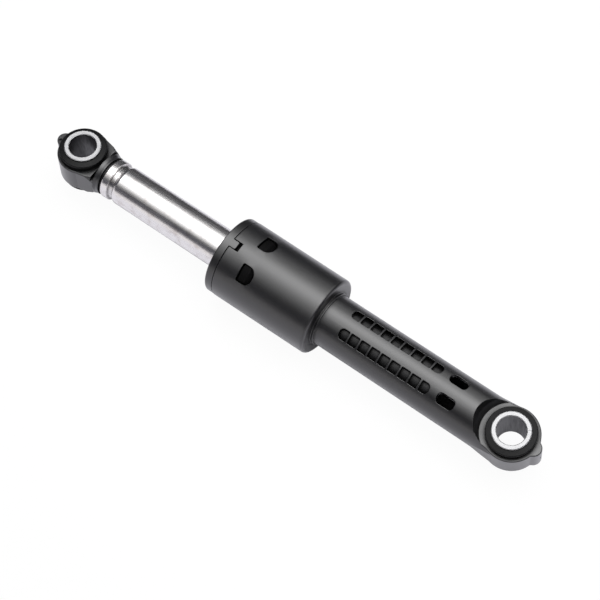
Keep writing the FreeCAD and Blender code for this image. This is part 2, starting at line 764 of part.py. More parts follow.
os.makedirs("parts", exist_ok=True)
for name, shape in build_parts().items():
    solids = len(shape.Solids)
    print(f"{name}: valid {shape.isValid()}, solids {solids}, volume {shape.Volume:.1f}")
    shape.exportStep(f"parts/{name}.step")
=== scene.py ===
"""Washing machine shock absorber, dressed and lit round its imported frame.

Lengths are in metres, unless a name ends in _mm.
"""
import logging
import math
from abc import ABC, abstractmethod
from dataclasses import dataclass, field
from enum import Enum

import bmesh
import bpy
from mathutils import Matrix, Vector


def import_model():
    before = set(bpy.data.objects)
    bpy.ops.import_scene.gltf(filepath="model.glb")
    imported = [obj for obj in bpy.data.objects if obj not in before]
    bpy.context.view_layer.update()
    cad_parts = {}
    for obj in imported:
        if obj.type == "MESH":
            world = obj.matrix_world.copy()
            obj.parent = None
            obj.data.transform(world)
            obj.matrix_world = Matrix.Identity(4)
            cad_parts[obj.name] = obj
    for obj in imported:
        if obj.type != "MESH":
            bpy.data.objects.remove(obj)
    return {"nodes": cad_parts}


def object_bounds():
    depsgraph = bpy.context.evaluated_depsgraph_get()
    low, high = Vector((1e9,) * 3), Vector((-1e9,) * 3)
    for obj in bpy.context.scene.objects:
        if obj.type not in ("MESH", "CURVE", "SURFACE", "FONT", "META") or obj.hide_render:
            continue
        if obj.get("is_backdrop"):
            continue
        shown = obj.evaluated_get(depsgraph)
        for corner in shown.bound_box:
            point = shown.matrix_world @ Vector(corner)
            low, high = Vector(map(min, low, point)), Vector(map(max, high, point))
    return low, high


LOG = logging.getLogger("damper")
MM = 0.001
WHITE = "ffffff"

# Refraction of nylon and rubber
POLYMER_IOR = 1.5

# Rays that look for nearby walls, for rounded edges and for the floor's shade
RECESS_SAMPLES = 8
EDGE_SAMPLES = 6
FLOOR_SAMPLES = 4

# Numbers of the sockets by which Blender's Mix node takes and gives colours
MIX_FIRST = 6
MIX_SECOND = 7
MIX_RESULT = 2

Socket = bpy.types.NodeSocket
Value = float | tuple[float, ...] | Socket
Range = tuple[float, float]


def linear(hex_code: str) -> tuple[float, float, float, float]:
    """Turns an sRGB hex colour into Blender's linear RGBA.

    Args:
        hex_code: Six hex digits, such as "1c1b1d".

    Returns:
        Linear red, green, blue and an alpha of 1.
    """
    channels = []
    for start in (0, 2, 4):
        value = int(hex_code[start:start + 2], 16) / 255
        channels.append(value / 12.92 if value <= 0.04045 else ((value + 0.055) / 1.055) ** 2.4)
    return (*channels, 1.0)


def per_metre(size_mm: float) -> float:
    """Scale of a texture whose patches are that many millimetres across."""
    return 1 / (size_mm * MM)


class Metal(Enum):
    """Whether a surface is a metal, as Principled's metallic value."""

    NO = 0.0
    YES = 1.0


class Octaves(Enum):
    """How rich a noise pattern is, as its detail value."""

    PLAIN = 2.0
    GRAINY = 3.0
    CLOUDY = 4.0
    MOTTLED = 5.0


class NodeGraph:
    """The node tree of a material or a world, filled one node at a time."""

    def __init__(self, owner: bpy.types.Material | bpy.types.World) -> None:
        """Empties the owner's tree.

        Args:
            owner: The material or world whose tree is filled.
        """
        self.owner = owner
        owner.use_nodes = True
        self.tree = owner.node_tree
        self.tree.nodes.clear()

    def add(self, kind: str, inputs: dict | None = None, **settings: object) -> bpy.types.Node:
        """Adds a node with its settings, values and links.

        Args:
            kind: The node's type name, without "ShaderNode".
            inputs: Socket name or number to a value, or to an output socket that feeds it.
            settings: Attributes of the node.

        Returns:
            The new node.
        """
        node = self.tree.nodes.new("ShaderNode" + kind)
        for key, value in settings.items():
            setattr(node, key, value)
        for key, value in (inputs or {}).items():
            if isinstance(value, Socket):
                self.tree.links.new(value, node.inputs[key])
            else:
                node.inputs[key].default_value = value
        return node

    def place(self) -> Socket:
        """Adds the object's coordinates, in metres."""
        return self.add("TexCoord").outputs["Object"]

    def stretched(self, place: Socket, factors: tuple[float, float, float]) -> Socket:
        """Multiplies coordinates, so that a small factor draws a pattern out."""
        return self.add("VectorMath", {0: place, 1: factors}, operation="MULTIPLY").outputs[0]

    def calculate(self, operation: str, *values: Value) -> Socket:
        """Does a sum with one to three numbers.

        Args:
            operation: The sum, by the Math node's name for it.
            values: Its numbers, or output sockets.

        Returns:
            The result.
        """
        return self.add("Math", dict(enumerate(values)), operation=operation).outputs[0]

    def noise(self, place: Socket, size_mm: float, octaves: Octaves, breakup: float = 0.5) -> Socket:
        """Adds an uneven pattern.

        Args:
            place: The coordinates that it follows.
            size_mm: How many millimetres its patches are across.
            octaves: How rich it is.
            breakup: How strongly its finer patches show.

        Returns:
            The pattern's value.
        """
        return self.add("TexNoise", {
            "Vector": place,
            "Scale": per_metre(size_mm),
            "Detail": octaves.value,
            "Roughness": breakup,
        }).outputs["Fac"]

    def spread(self, value: Socket, source: Range = (0.0, 1.0),
               target: tuple[Value, Value] = (0.0, 1.0), smooth: bool = False) -> Socket:
        """Maps one range of values to another and holds its ends beyond them.

        Args:
            value: The value that is mapped.
            source: The range it comes from.
            target: What that range's two ends become, as numbers or output sockets.
            smooth: Whether it eases in and out of the ends.

        Returns:
            The mapped value.
        """
        return self.add("MapRange", {
            "Value": value,
            "From Min": source[0],
            "From Max": source[1],
            "To Min": target[0],
            "To Max": target[1],
        }, interpolation_type="SMOOTHSTEP" if smooth else "LINEAR").outputs["Result"]

    def mix(self, share: Socket, first: Value, second: Value) -> Socket:
        """Mixes two colours.

        Args:
            share: The second colour's share.
            first: The first colour, or a socket that gives it.
            second: The second.

        Returns:
            The mixed colour.
        """
        inputs = {0: share, MIX_FIRST: first, MIX_SECOND: second}
        return self.add("Mix", inputs, data_type="RGBA").outputs[MIX_RESULT]

    def darken(self, colour: Value, light: Socket) -> Socket:
        """Multiplies a colour by a share of light.

        Args:
            colour: The colour.
            light: The share of it that stays.

        Returns:
            The darkened colour.
        """
        inputs = {0: 1.0, MIX_FIRST: colour, MIX_SECOND: light}
        node = self.add("Mix", inputs, data_type="RGBA", blend_type="MULTIPLY")
        return node.outputs[MIX_RESULT]

    def openness(self, reach: float, samples: int, only_local: bool = False) -> Socket:
        """Finds how open it is round a point.

        Args:
            reach: How far off a wall still counts.
            samples: Rays that look for walls.
            only_local: Whether the piece's own walls alone count.

        Returns:
            Share of open directions, 1 on a free surface.
        """
        inputs = {"Distance": reach}
        node = self.add("AmbientOcclusion", inputs, samples=samples, only_local=only_local)
        return node.outputs["AO"]

    def raised(self, pattern: Socket, height_mm: float, strength: float,
               under: Socket | None = None) -> Socket:
        """Raises a pattern from the surface.

        Args:
            pattern: The pattern's value.
            height_mm: How high a value of 1 stands.
            strength: Share of that height which shows.
            under: Normal of the surface below, where it isn't the piece's own.

        Returns:
            The raised surface's normal.
        """
        inputs = {"Height": pattern, "Distance": height_mm * MM, "Strength": strength}
        if under is not None:
            inputs["Normal"] = under
        return self.add("Bump", inputs).outputs[0]


class Finish(ABC):
    """How one kind of surface looks."""

    name: str
    metal = Metal.NO

    def material(self) -> bpy.types.Material:
        """Makes the finish's material.

        Returns:
            A material that bears the finish's name.
        """
        material = bpy.data.materials.new(self.name)
        graph = NodeGraph(material)
        inputs = {"Metallic": self.metal.value, **self.shading(graph)}
        shader = graph.add("BsdfPrincipled", inputs)
        graph.add("OutputMaterial", {"Surface": shader.outputs[0]})
        return material

    @abstractmethod
    def shading(self, graph: NodeGraph) -> dict[str, Value]:
        """Builds the finish's patterns.

        Args:
            graph: The material's tree, which gets the pattern nodes.

        Returns:
            Principled's inputs by name, as values or output sockets.
        """


@dataclass(frozen=True)
class MouldedNylon(Finish):
    """Black glass-filled nylon, injection moulded in a fine-eroded tool.

    Glass fibre at the skin breaks the gloss into a soft, wide sheen. Its resin-rich skin adds a
    second, thinner gloss that shows at a slant, the moulded edges are slightly rounded so that
    they catch a light line, and handling leaves matt smudges. Recesses, and the tube's inside
    where inside_mm is given, get painted shade: a darker colour, without the skin's gloss. The
    real grain of some 0.1 mm is too fine to show from here, so it is drawn three times as coarse.
    """

    name: str
    colour: str = "0c0c0d"
    clouded: str = "121214"
    cloud_mm: float = 8.0
    fleck_mm: float = 0.9
    smudge_range: Range = (0.85, 1.25)
    roughness: float = 0.34
    smudged: float = 0.4
    core_shine: float = 0.1
    tint: str = "faf7fc"
    skin: float = 1.0
    skin_ior: float = 1.7
    grain_mm: float = 0.3
    grain_height_mm: float = 0.006
    grain_strength: float = 0.5
    edge_mm: float = 0.4
    recess_mm: float = 3.5
    recess_range: Range = (0.45, 0.85)
    # Painted shade: the colour of recesses and of the tube's inside
    recess_shade_colour: str = "030303"
    recess_roughness: float = 0.6
    inside_mm: float | None = None
    inside_fade_mm: float = 0.1
    inside_from_mm: float = 16.0

    def shading(self, graph: NodeGraph) -> dict[str, Value]:
        """Builds clouds, smudges, grain, soft edges and painted shade in recesses.

        Args:
            graph: The material's tree, which gets the pattern nodes.

        Returns:
            Principled's inputs by name, as values or output sockets.
        """
        place = graph.place()
        cloud = graph.noise(place, self.cloud_mm, Octaves.CLOUDY)
        fleck = graph.noise(place, self.fleck_mm, Octaves.GRAINY)
        both = graph.calculate("ADD", cloud, fleck)
        share = graph.spread(both, self.smudge_range, smooth=True)
        skin_colour = graph.mix(share, linear(self.colour), linear(self.clouded))
        skin_gloss = graph.spread(share, target=(self.roughness, self.smudged))
        unshaded = self._in_the_open(graph, place)
        surface = self._surface(graph, place)
        return {
            # Painted shade: recesses take the darker recess colour
            "Base Color": graph.mix(unshaded, linear(self.recess_shade_colour), skin_colour),
            "Roughness": graph.spread(unshaded, target=(self.recess_roughness, skin_gloss)),
            "IOR": POLYMER_IOR,
            "Specular IOR Level": self.core_shine,
            "Specular Tint": linear(self.tint),
            "Coat Weight": graph.calculate("MULTIPLY", unshaded, self.skin),
            "Coat IOR": self.skin_ior,
            "Coat Roughness": self.roughness,
            "Coat Normal": surface,
            "Normal": surface,
        }

    def _surface(self, graph: NodeGraph, place: Socket) -> Socket:
        """Builds the eroded grain over slightly rounded edges.

        Args:
            graph: The material's tree.
            place: Object coordinates.

        Returns:
            The surface's normal.
        """
        edge = graph.add("Bevel", {"Radius": self.edge_mm * MM}, samples=EDGE_SAMPLES)
        grain = graph.noise(place, self.grain_mm, Octaves.PLAIN)
        return graph.raised(grain, self.grain_height_mm, self.grain_strength, edge.outputs[0])

    def _in_the_open(self, graph: NodeGraph, place: Socket) -> Socket:
        """Finds where the moulding keeps its own colour and gloss, outside the painted shade.

        Args:
            graph: The material's tree.
            place: Object coordinates.

        Returns:
            Share of the skin's colour and gloss, 1 in the open and 0 under painted shade in a
            recess.
        """
        open_share = graph.openness(self.recess_mm * MM, RECESS_SAMPLES)
        unshaded = graph.spread(open_share, self.recess_range)
        if self.inside_mm is None:
            return unshaded
        return self._without_inside(graph, place, unshaded)

    def _without_inside(self, graph: NodeGraph, place: Socket, unshaded: Socket) -> Socket:
        """Counts what lies inside the tube round X as recessed, for painted shade, but for the eye
        at its end.

        Args:
            graph: The material's tree.
            place: Object coordinates.
            unshaded: Share of the skin's gloss, 1 in the open and 0 in a recess.

        Returns:
            That share, and 0 inside the tube.
        """
        across = graph.stretched(place, (0.0, 1.0, 1.0))
        radius = graph.add("VectorMath", {0: across}, operation="LENGTH").outputs["Value"]
        inner = (self.inside_mm - self.inside_fade_mm) * MM
        outer = (self.inside_mm + self.inside_fade_mm) * MM
        outside = graph.spread(radius, (inner, outer))
        along = graph.add("SeparateXYZ", {0: place}).outputs["X"]
        eye = graph.calculate("LESS_THAN", along, self.inside_from_mm * MM)
        kept = graph.calculate("MAXIMUM", outside, eye)
        return graph.calculate("MULTIPLY", unshaded, kept)


@dataclass(frozen=True)
class MouldedRubber(Finish):
    """Black rubber, compression moulded: matt, with a faint bloom in patches.

    Its dusty grain of some 0.1 mm is too fine to show from here, so it is drawn a few times
    coarser.
    """

    name: str
    colour: str = "070708"
    bloom: str = "101012"
    bloom_mm: float = 2.5
    bloom_range: Range = (0.45, 0.75)
    roughness: float = 0.5
    bloom_roughness: float = 0.62
    shine: float = 0.2
    grain_mm: float = 0.35
    grain_height_mm: float = 0.01
    grain_strength: float = 0.4

    def shading(self, graph: NodeGraph) -> dict[str, Value]:
        """Builds the bloom and a dusty grain.

        Args:
            graph: The material's tree, which gets the pattern nodes.

        Returns:
            Principled's inputs by name, as values or output sockets.
        """
        place = graph.place()
        patch = graph.noise(place, self.bloom_mm, Octaves.CLOUDY)
        grain = graph.noise(place, self.grain_mm, Octaves.PLAIN)
        share = graph.spread(patch, self.bloom_range, smooth=True)
        return {
            "Base Color": graph.mix(share, linear(self.colour), linear(self.bloom)),
            "Roughness": graph.spread(share, target=(self.roughness, self.bloom_roughness)),
            "IOR": POLYMER_IOR,
            "Specular IOR Level": self.shine,
            "Normal": graph.raised(grain, self.grain_height_mm, self.grain_strength),
        }


@dataclass(frozen=True)
class ZincSleeve(Finish):
    """Steel strip rolled to a sleeve and zinc plated.

    The end faces are cut and tumbled, so they are pale and matt with no mirror in them. The bore
    has a darker colour, which is painted shade, with lengthwise drawing lines, and the strip's butt
    joint leaves a fine dark line across the end face. The drawing lines and the tumbled grain,
    both of some 0.1 mm, are too fine to show from here, so they are drawn a few times coarser.
    """

    name: str
    metal = Metal.YES
    face: str = "b4b4b5"
    worn: str = "afafb0"
    patch_mm: float = 3.5
    worn_range: Range = (0.4, 0.75)
    roughness: float = 0.62
    # Painted shade: the bore's colour, darker than the end faces
    bore: str = "a0a0a2"
    bore_roughness: float = 0.34
    face_level: Range = (0.3, 0.6)
    line_mm: float = 0.8
    line_length: float = 12.0
    line_range: Range = (0.3, 0.7)
    line_dark: float = 0.55
    grain_mm: float = 0.25
    grain_height_mm: float = 0.003
    grain_strength: float = 0.3
    joint_deg: float | None = None
    joint_mm: float = 0.09
    joint_colour: str = "77777a"

    def shading(self, graph: NodeGraph) -> dict[str, Value]:
        """Builds bright end faces, a bore in painted shade and the joint line.

        Args:
            graph: The material's tree, which gets the pattern nodes.

        Returns:
            Principled's inputs by name, as values or output sockets.
        """
        coords = graph.add("TexCoord").outputs
        place = coords["Object"]
        slope = graph.add("SeparateXYZ", {0: coords["Normal"]}).outputs["Z"]
        flat = graph.spread(graph.calculate("ABSOLUTE", slope), self.face_level)
        shade = graph.mix(flat, self._bore(graph, place), self._end_face(graph, place))
        if self.joint_deg is not None:
            shade = self._joint(graph, place, shade)
        grain = graph.noise(place, self.grain_mm, Octaves.PLAIN)
        return {
            "Base Color": shade,
            "Roughness": graph.spread(flat, target=(self.bore_roughness, self.roughness)),
            "Normal": graph.raised(grain, self.grain_height_mm, self.grain_strength),
        }

    def _end_face(self, graph: NodeGraph, place: Socket) -> Socket:
        """Builds the tumbled end face's worn patches.

        Args:
            graph: The material's tree.
            place: Object coordinates.

        Returns:
            The end face's colour.
        """
        patch = graph.noise(place, self.patch_mm, Octaves.GRAINY)
        share = graph.spread(patch, self.worn_range, smooth=True)
        return graph.mix(share, linear(self.face), linear(self.worn))

    def _bore(self, graph: NodeGraph, place: Socket) -> Socket:
        """Builds the bore's painted shade and its lengthwise lines.

        Args:
            graph: The material's tree.
            place: Object coordinates.

        Returns:
            The bore's colour.
        """
        along = graph.stretched(place, (1.0, 1.0, 1 / self.line_length))
        drawn = graph.noise(along, self.line_mm, Octaves.GRAINY)
        lines = graph.spread(drawn, self.line_range, (self.line_dark, 1.0))
        return graph.darken(linear(self.bore), lines)

    def _joint(self, graph: NodeGraph, place: Socket, under: Socket) -> Socket:
        """Lays the joint line over a colour.

        Args:
            graph: The material's tree.
            place: Object coordinates, with the sleeve's axis at the origin.
            under: The colour without the line.

        Returns:
            The colour with the line.
        """
        turn = {"Vector": place, "Angle": -math.radians(self.joint_deg)}
        turned = graph.add("VectorRotate", turn, rotation_type="Z_AXIS")
        axes = graph.add("SeparateXYZ", {0: turned.outputs[0]}).outputs
        off = graph.calculate("ABSOLUTE", axes["Y"])
        near = graph.calculate("LESS_THAN", off, self.joint_mm * MM)
        ahead = graph.calculate("GREATER_THAN", axes["X"], 0.0)
        line = graph.calculate("MULTIPLY", near, ahead)
        return graph.mix(line, under, linear(self.joint_colour))


@dataclass(frozen=True)
class PlatedTube(Finish):
    """Drawn steel tube, polished and nickel plated.

    Drawing leaves faint lengthwise lines that fray the edge of a reflection, and the plating
    has pale brownish clouds. The rolled groove gets painted shade, a dark colour where its walls
    close in. The real lines are too fine to show from here, so they are drawn a few times coarser.
    """

    name: str
    metal = Metal.YES
    colour: str = "e4e2e2"
    stain: str = "c8c2c0"
    stain_mm: float = 4.0
    stain_breakup: float = 0.65
    stain_range: Range = (0.45, 0.75)
    stain_most: float = 0.9
    # Painted shade in the rolled groove
    groove_shade: str = "1c1c1e"
    groove_mm: float = 2.5
    groove_range: Range = (0.6, 0.92)
    line_mm: float = 0.7
    line_length: float = 24.0
    line_range: Range = (0.3, 0.7)
    roughness: float = 0.22
    line_roughness: float = 0.3
    line_height_mm: float = 0.0003
    line_strength: float = 0.5

    def shading(self, graph: NodeGraph) -> dict[str, Value]:
        """Builds drawing lines, stains and painted shade in the rolled groove.

        Args:
            graph: The material's tree, which gets the pattern nodes.

        Returns:
            Principled's inputs by name, as values or output sockets.
        """
        place = graph.place()
        along = graph.stretched(place, (1 / self.line_length, 1.0, 1.0))
        lines = graph.noise(along, self.line_mm, Octaves.GRAINY)
        open_share = graph.openness(self.groove_mm * MM, RECESS_SAMPLES, only_local=True)
        out_of_groove = graph.spread(open_share, self.groove_range)
        gloss = (self.roughness, self.line_roughness)
        return {
            # Painted shade: the rolled groove takes the dark groove colour
            "Base Color": graph.mix(out_of_groove, linear(self.groove_shade), self._plating(graph, place)),
            "Roughness": graph.spread(lines, self.line_range, gloss),
            "Normal": graph.raised(lines, self.line_height_mm, self.line_strength),
        }

    def _plating(self, graph: NodeGraph, place: Socket) -> Socket:
        """Builds the plating with its clouds.

        Args:
            graph: The material's tree.
            place: Object coordinates.

        Returns:
            The plating's colour.
        """
        stain = graph.noise(place, self.stain_mm, Octaves.MOTTLED, self.stain_breakup)
        share = graph.spread(stain, self.stain_range, (0.0, self.stain_most), smooth=True)
        return graph.mix(share, linear(self.colour), linear(self.stain))


@dataclass(frozen=True)
class DrawnWire(Finish):
    """Spring steel wire, drawn and oiled: a dark, fairly sharp metal.

    The die's marks are finer than 0.1 mm and wouldn't show, so they are drawn coarser.
    """

    name: str
    metal = Metal.YES
    colour: str = "7c7d80"
    mark_mm: float = 0.2
    roughness: float = 0.3
    marked_roughness: float = 0.45

    def shading(self, graph: NodeGraph) -> dict[str, Value]:
        """Builds fine marks left by the die.

        Args:
            graph: The material's tree, which gets the pattern nodes.

        Returns:
            Principled's inputs by name, as values or output sockets.
        """
        marks = graph.noise(graph.place(), self.mark_mm, Octaves.PLAIN)
        return {
            "Base Color": linear(self.colour),
            "Roughness": graph.spread(marks, target=(self.roughness, self.marked_roughness)),
        }


@dataclass(frozen=True)
class InnerPlastic(Finish):
    """Unfilled acetal of the inner pieces, moulded, under a light film of grease."""

    name: str
    colour: str
    greased: str
    roughness: float = 0.4
    greased_roughness: float = 0.25
    film_mm: float = 4.0
    film_range: Range = (0.3, 0.7)

    def shading(self, graph: NodeGraph) -> dict[str, Value]:
        """Builds the grease film: glossier and darker where it is thick.

        Args:
            graph: The material's tree, which gets the pattern nodes.

        Returns:
            Principled's inputs by name, as values or output sockets.
        """
        film = graph.noise(graph.place(), self.film_mm, Octaves.GRAINY)
        share = graph.spread(film, self.film_range)
        return {
            "Base Color": graph.mix(share, linear(self.colour), linear(self.greased)),
            "Roughness": graph.spread(share, target=(self.roughness, self.greased_roughness)),
        }


@dataclass(frozen=True)
class GreasedFoam(Finish):
    """Open-cell foam soaked in amber grease: dark wet pores between pale ribs."""

    name: str
    colour: str = "b08a3c"
    pore: str = "6b4c18"
    pore_mm: float = 0.5
    pore_range: Range = (0.1, 0.6)
    pore_height_mm: float = 0.2
    pore_strength: float = 0.6
    wet_roughness: float = 0.25
    rib_roughness: float = 0.6

    def shading(self, graph: NodeGraph) -> dict[str, Value]:
        """Builds the pores.

        Args:
            graph: The material's tree, which gets the pattern nodes.

        Returns:
            Principled's inputs by name, as values or output sockets.
        """
        inputs = {"Vector": graph.place(), "Scale": per_metre(self.pore_mm)}
        cells = graph.add("TexVoronoi", inputs).outputs["Distance"]
        rim = graph.spread(cells, self.pore_range)
        return {
            "Base Color": graph.mix(rim, linear(self.pore), linear(self.colour)),
            "Roughness": graph.spread(rim, target=(self.wet_roughness, self.rib_roughness)),
            "Normal": graph.raised(rim, self.pore_height_mm, self.pore_strength),
        }


# The tube's inside, and the cap's inside behind its windows, get painted shade
NYLON = MouldedNylon("glass_filled_nylon_moulded", inside_mm=9.7)
NYLON_CAP = MouldedNylon(
    "glass_filled_nylon_cap", colour="0a0a0b", clouded="101011", inside_mm=17.5,
)
NYLON_EYE = MouldedNylon("glass_filled_nylon_rod_eye", clouded="19191c", fleck_mm=0.6)
BUSH_RUBBER = MouldedRubber("rubber_compression_moulded")
BUFFER_RUBBER = MouldedRubber("buffer_elastomer_moulded", colour="141415", bloom="212123")
ZINC_JOINTED = ZincSleeve("steel_rolled_zinc_plated_jointed", joint_deg=214.5)
# The rod eye's sleeve has a still darker bore, for deeper painted shade
ZINC = ZincSleeve("steel_rolled_zinc_plated", face="c2c2c3", worn="bcbcbe", bore="747476")
PLATED = PlatedTube("steel_tube_polished_plated")
SPRING_WIRE = DrawnWire("spring_steel_wire_drawn")
CARRIER_PLASTIC = InnerPlastic("acetal_moulded_grey", "b9bab4", "8f908a")
PLUG_PLASTIC = InnerPlastic(
    "acetal_moulded_natural", "d9d7cc", "b3b0a2", roughness=0.35, greased_roughness=0.2,
)
FOAM = GreasedFoam("polyurethane_foam_greased")


@dataclass
class SubAssembly:
    """Pieces that belong together on the bench.

    Attributes:
        name: What the log calls them.
        finishes: Each CAD node's finish, by the node's name.
    """

    name: str
    finishes: dict[str, Finish] = field(default_factory=dict)

    def dress(self, nodes: dict[str, bpy.types.Object],
              made: dict[str, bpy.types.Material]) -> list[str]:
        """Gives every node of the sub-assembly its material.

        Args:
            nodes: The frame's objects by node name.
            made: Materials already made, by name, which this call adds to.

        Returns:
            The names of the nodes that were dressed.
        """
        for node, finish in self.finishes.items():
            if finish.name not in made:
                made[finish.name] = finish.material()
            slots = nodes[node].data.materials
            slots.clear()
            slots.append(made[finish.name])
        return sorted(self.finishes)


@dataclass
class HousingAssembly(SubAssembly):
    """Moulded housing with its cap, bush and buffers."""

    name: str = "housing"
    finishes: dict[str, Finish] = field(default_factory=lambda: {
        "damper_housing": NYLON,
        "head_cap": NYLON_CAP,
        "housing_eye_rubber": BUSH_RUBBER,
        "housing_eye_sleeve": ZINC_JOINTED,
        "rear_buffer": BUFFER_RUBBER,
        "front_buffer": BUFFER_RUBBER,
    })


@dataclass
class FrictionUnit(SubAssembly):
    """Floating carrier with its greased foam linings and spring rings."""

    name: str = "friction unit"
    finishes: dict[str, Finish] = field(default_factory=lambda: {
        "carrier_half_left": CARRIER_PLASTIC,
        "carrier_half_right": CARRIER_PLASTIC,
        "lining_left": FOAM,
        "lining_right": FOAM,
        "carrier_ring_rear": SPRING_WIRE,
        "carrier_ring_front": SPRING_WIRE,
    })


@dataclass
class RodAssembly(SubAssembly):
    """Plated rod tube with the moulded eye rolled into its mouth."""

    name: str = "rod"
    finishes: dict[str, Finish] = field(default_factory=lambda: {
        "rod_tube": PLATED,
        "rod_end_plug": PLUG_PLASTIC,
        "rod_eye": NYLON_EYE,
        "rod_eye_rubber": BUSH_RUBBER,
        "rod_eye_sleeve": ZINC,
    })


@dataclass
class PhotoCamera:
    """Camera that looks at the damper from the angle of the photograph."""

    place_mm: tuple[float, float, float] = (-103.839, 160.276, 648.651)
    azimuth_deg: float = -37.318
    elevation_deg: float = 67.825
    roll_deg: float = -17.334
    lean_deg: float = -0.8
    focal_pixels: float = 1662.68
    image_pixels: float = 600.0
    sensor_mm: float = 36.0
    clip_start: float = 0.01

    def build(self) -> bpy.types.Object:
        """Makes the camera and sets it as the scene's.

        Returns:
            The camera object.
        """
        data = bpy.data.cameras.new("photo_camera")
        data.sensor_width = self.sensor_mm
        data.lens = self.focal_pixels / self.image_pixels * self.sensor_mm
        data.clip_start = self.clip_start
        camera = bpy.data.objects.new("photo_camera", data)
        bpy.context.scene.collection.objects.link(camera)
        azimuth = math.radians(self.azimuth_deg)
        elevation = math.radians(self.elevation_deg)
        forward = Vector((
            math.cos(elevation) * math.cos(azimuth),
            math.cos(elevation) * math.sin(azimuth),
            -math.sin(elevation),
        ))
        level = forward.cross(Vector((0, 0, 1))).normalized()
        upright = level.cross(forward)
        roll = Matrix.Rotation(math.radians(self.roll_deg), 3, -forward)
        axes = Matrix((roll @ level, roll @ upright, -forward)).transposed().to_4x4()
        lean = Matrix.Rotation(math.radians(self.lean_deg), 4, "X")
        camera.matrix_world = lean @ Matrix.Translation(Vector(self.place_mm) * MM) @ axes
        bpy.context.scene.camera = camera
        return camera


def flat_panel(name: str, size: Range, place: Matrix) -> bpy.types.Object:
    """Makes a flat rectangle of the studio.

    Args:
        name: The panel's name.
        size: Its sides along X and Y, before it is placed.
        place: How it is turned and moved from lying on the origin.

    Returns:
        The panel's object, at the origin, with its place in its mesh.
    """
    mesh = bpy.data.meshes.new(name)
    shape = bmesh.new()
    bmesh.ops.create_grid(shape, x_segments=1, y_segments=1, size=0.5)
    bmesh.ops.scale(shape, vec=(*size, 1.0), verts=shape.verts)
    bmesh.ops.transform(shape, matrix=place, verts=shape.verts)
    shape.to_mesh(mesh)
    shape.free()
    panel = bpy.data.objects.new(name, mesh)
    bpy.context.scene.collection.objects.link(panel)
    panel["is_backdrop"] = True
    return panel


@dataclass
class Card:
    """A flat upright card of the studio, which only reflections see.

    Attributes:
        name: The card's name.
        place: Its centre.
        size: Its length and height.
        colour: Its colour.
        strength: How brightly it shows that colour.
        turn_deg: Its turn about Z from standing along X.
    """

    name: str
    place: tuple[float, float, float]
    size: Range
    colour: str
    strength: float = 1.0
    turn_deg: float = 0.0

    def build(self) -> bpy.types.Object:
        """Makes the card.

        Returns:
            The card's object.
        """
        upright = Matrix.Rotation(math.radians(90), 4, "X")
        turn = Matrix.Rotation(math.radians(self.turn_deg), 4, "Z")
        card = flat_panel(self.name, self.size, Matrix.Translation(self.place) @ turn @ upright)
        graph = NodeGraph(bpy.data.materials.new(self.name))
        glow = graph.add("Emission", {"Color": linear(self.colour), "Strength": self.strength})
        graph.add("OutputMaterial", {"Surface": glow.outputs[0]})
        card.data.materials.append(graph.owner)
        card.visible_camera = False
        card.visible_diffuse = False
        card.visible_shadow = False
        return card


@dataclass
class Softbox:
    """The overhead softbox: a level panel with a hot middle and soft edges.

    Angles run across the damper, in degrees from straight up towards +Y.

    Attributes:
        height: Height of the panel above the origin.
        near_x: Its edge beyond the housing eye.
        far_x: Its edge beyond the rod eye.
        far_fade: How far its brightness takes to fade out at that edge.
        rise_deg: Angles between which it fades in on the -Y side.
        fall_deg: Angles between which it fades out on the +Y side.
        panel: Radiance between the edges.
        hot_deg: Angle of the hot middle.
        hot_spread_deg: Standard deviation of the hot middle.
        hot: Radiance that it adds.
    """

    height: float = 0.5
    near_x: float = -0.35
    far_x: float = 0.58
    far_fade: float = 0.2
    rise_deg: Range = (-82.0, -48.0)
    fall_deg: Range = (16.0, 46.0)
    panel: float = 1.15
    hot_deg: float = -17.0
    hot_spread_deg: float = 16.0
    hot: float = 3.8

    def build(self) -> bpy.types.Object:
        """Makes the panel.

        Returns:
            The panel's object.
        """
        rise = [self._across(angle) for angle in self.rise_deg]
        fall = [self._across(angle) for angle in self.fall_deg]
        size = (self.far_x - self.near_x, fall[1] - rise[0])
        middle = ((self.far_x + self.near_x) / 2, (fall[1] + rise[0]) / 2, self.height)
        panel = flat_panel("softbox", size, Matrix.Translation(middle))
        panel.data.materials.append(self._glow(rise, fall))
        panel.visible_camera = False
        return panel

    def _across(self, angle_deg: float) -> float:
        """Where a direction meets the panel, along Y."""
        return self.height * math.tan(math.radians(angle_deg))

    def _glow(self, rise: list[float], fall: list[float]) -> bpy.types.Material:
        """Makes the panel's glow.

        Args:
            rise: Where it fades in, along Y.
            fall: Where it fades out, along Y.

        Returns:
            The panel's material.
        """
        graph = NodeGraph(bpy.data.materials.new("softbox"))
        place = graph.add("SeparateXYZ", {0: graph.place()}).outputs
        edges = [
            (place["Y"], (rise[0], rise[1])),
            (place["Y"], (fall[1], fall[0])),
            (place["X"], (self.far_x, self.far_x - self.far_fade)),
        ]
        level = self.panel
        for across, dark_to_full in edges:
            fade = graph.spread(across, dark_to_full, smooth=True)
            level = graph.calculate("MULTIPLY", fade, level)
        bell = self._bell(graph, place["Y"])
        ratio = graph.calculate("MULTIPLY_ADD", bell, self.hot / self.panel, 1.0)
        total = graph.calculate("MULTIPLY", level, ratio)
        glow = graph.add("Emission", {"Color": linear(WHITE), "Strength": total})
        graph.add("OutputMaterial", {"Surface": glow.outputs[0]})
        return graph.owner

    def _bell(self, graph: NodeGraph, across: Socket) -> Socket:
        """Builds the bell curve of the hot middle.

        Args:
            graph: The panel's tree.
            across: Place along Y.

        Returns:
            The curve's value, 1 at the hot middle.
        """
        middle = self._across(self.hot_deg)
        spread = self._across(self.hot_deg + self.hot_spread_deg) - middle
        off = graph.calculate("SUBTRACT", across, middle)
        share = graph.calculate("DIVIDE", off, spread)
        square = graph.calculate("MULTIPLY", share, share)
        return graph.calculate("EXPONENT", graph.calculate("MULTIPLY", square, -0.5))


